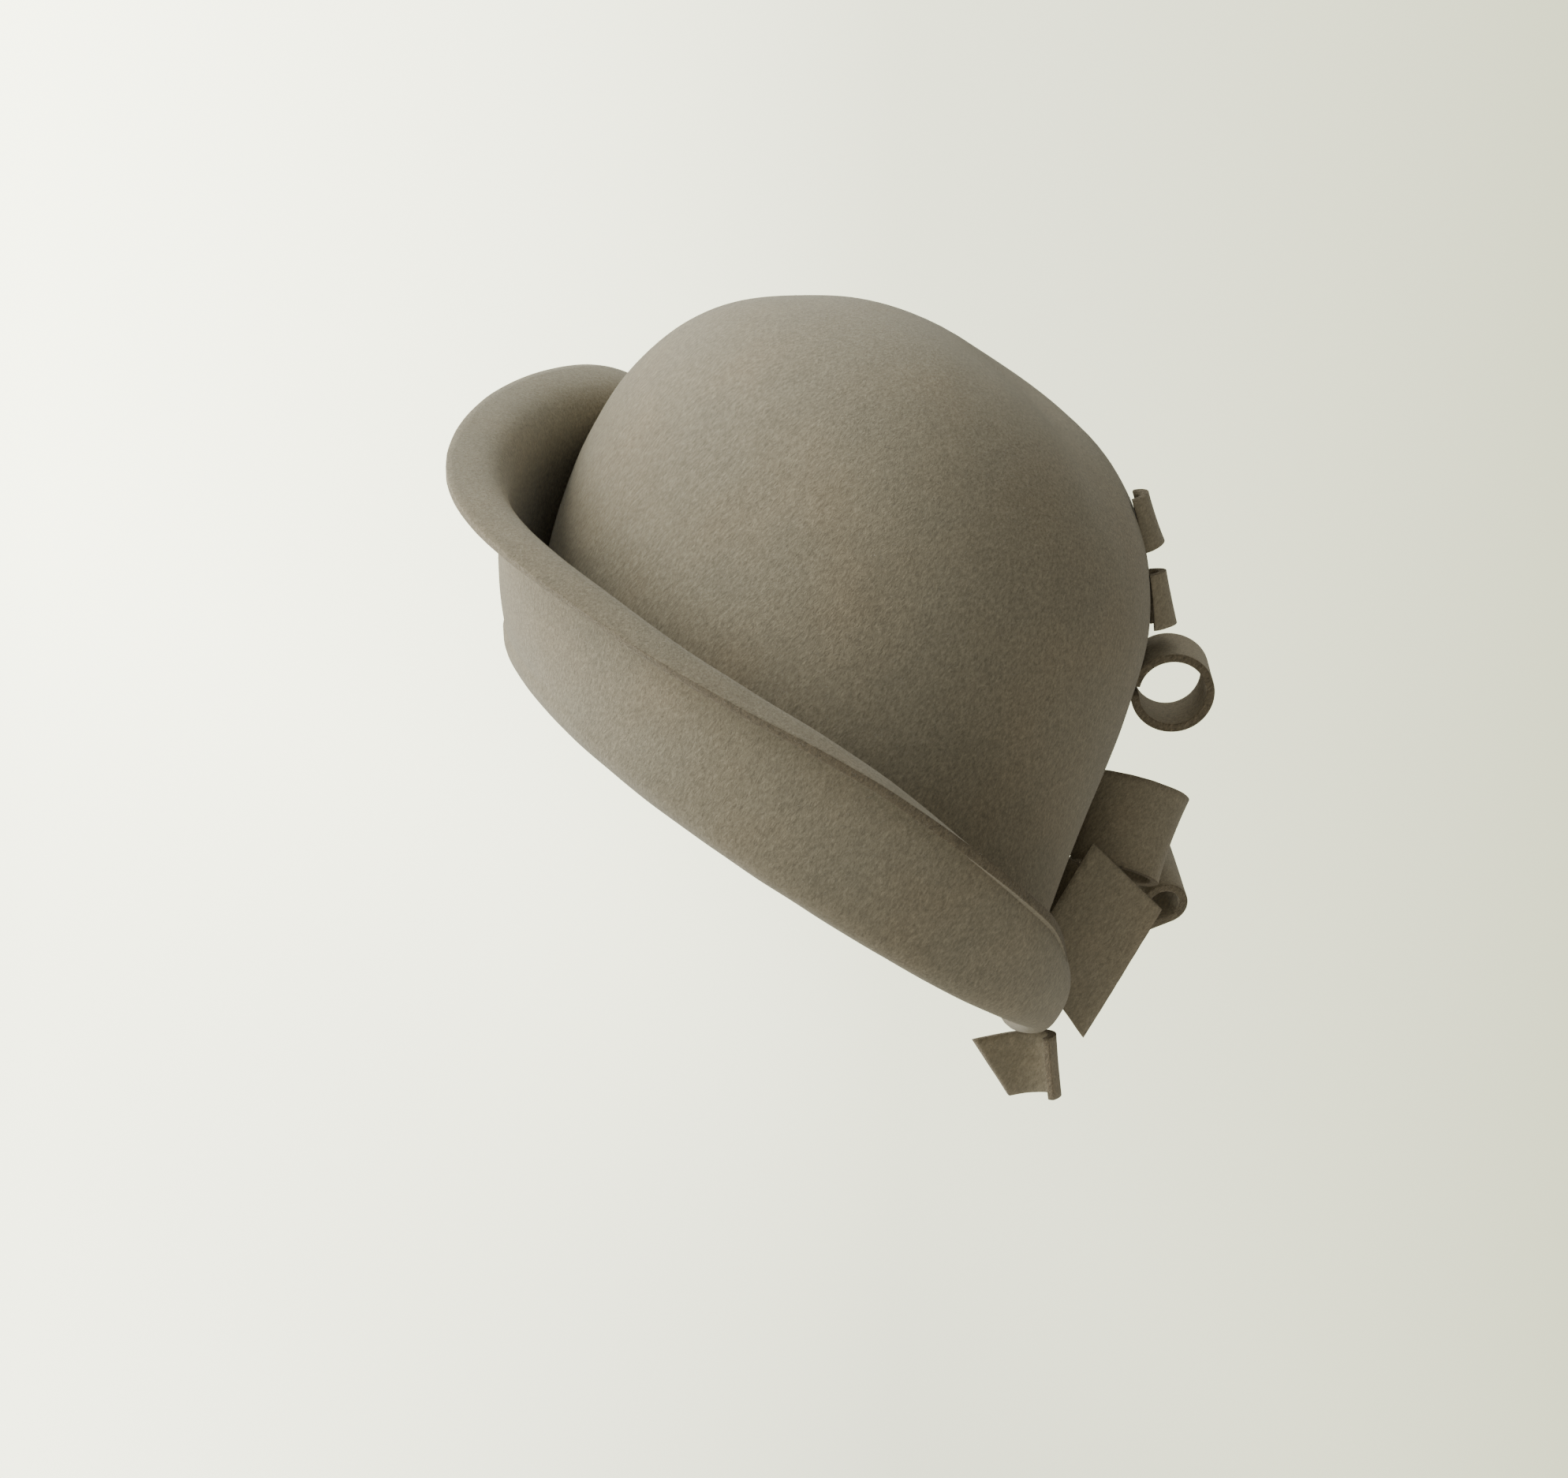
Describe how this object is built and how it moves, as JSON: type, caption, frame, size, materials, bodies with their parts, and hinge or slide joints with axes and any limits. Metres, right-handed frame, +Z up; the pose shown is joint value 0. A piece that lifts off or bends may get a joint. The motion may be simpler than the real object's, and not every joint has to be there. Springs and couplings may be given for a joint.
{
  "type": "cloche hat",
  "caption": "Felt cloche hat: deep rounded crown, upturned brim that hugs the crown and rises at the front, and a rolled felt strip bow with curls at one side.",
  "frame": {"origin": "centre of the head opening, in the plane that the fold at the foot of the crown lies on", "axes": "+Z up through the crown, +X to the wearer's left, +Y to the back of the head, front along -Y"},
  "size_m": [0.2491, 0.2646, 0.1812],
  "materials": {
    "felt": "matte wool felt",
    "strip_felt": "matte wool felt"
  },
  "bodies": {
    "root": {"felt_body": "felt", "ring_loop": "strip_felt", "twist_curl": "strip_felt", "end_curl": "strip_felt", "bow_loop_upper": "strip_felt", "bow_loop_lower": "strip_felt", "bow_tab": "strip_felt", "bow_backing": "strip_felt", "tail_curl": "strip_felt"}
  },
  "joints": []
}
